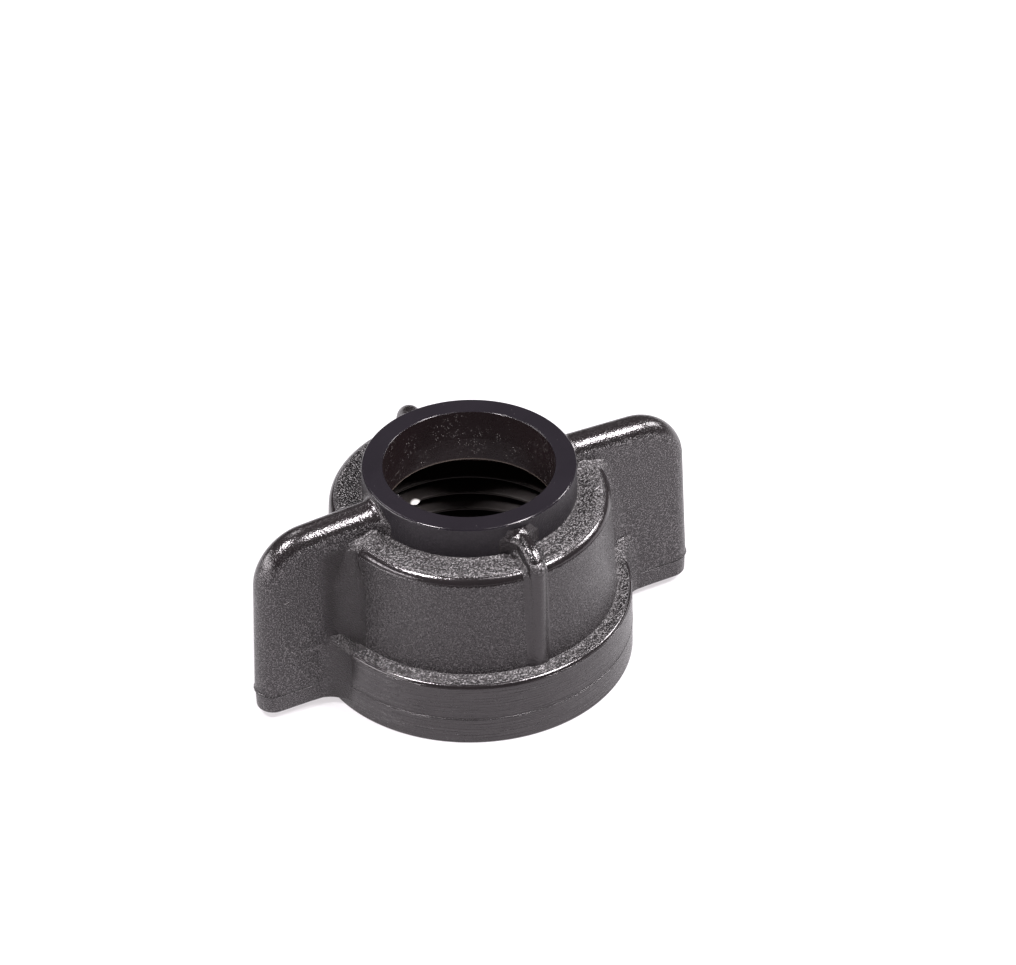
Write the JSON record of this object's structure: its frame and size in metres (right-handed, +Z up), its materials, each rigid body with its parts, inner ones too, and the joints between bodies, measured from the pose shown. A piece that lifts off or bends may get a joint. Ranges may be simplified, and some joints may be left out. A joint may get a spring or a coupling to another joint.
{
  "type": "wing nut",
  "caption": "Moulded plastic hose-coupling wing nut: internally threaded shell with an open neck, a base ring, flat wings and small grip ribs.",
  "frame": {"origin": "on the thread axis, at the underside of the base ring", "axes": "+Z up the thread axis towards the open neck, +X along the wings, +Y through the rear grip rib"},
  "size_m": [0.0518, 0.0344, 0.0241],
  "materials": {
    "ring_satin": "satin, with fine turning lines",
    "shell_grain": "fine spark-eroded grain",
    "thread_smooth": "smooth",
    "shoulder_grain": "coarse sparkling grain",
    "neck_satin": "satin, smooth",
    "wing_grain": "fine spark-eroded grain",
    "rib_grain": "fine spark-eroded grain"
  },
  "bodies": {
    "root": {"base_ring": "ring_satin", "threaded_shell": "shell_grain", "internal_thread": "thread_smooth", "shoulder_cap": "shoulder_grain", "neck_collar": "neck_satin", "wing_left": "wing_grain", "wing_right": "wing_grain", "rib_front": "rib_grain", "rib_rear": "rib_grain"}
  },
  "joints": []
}
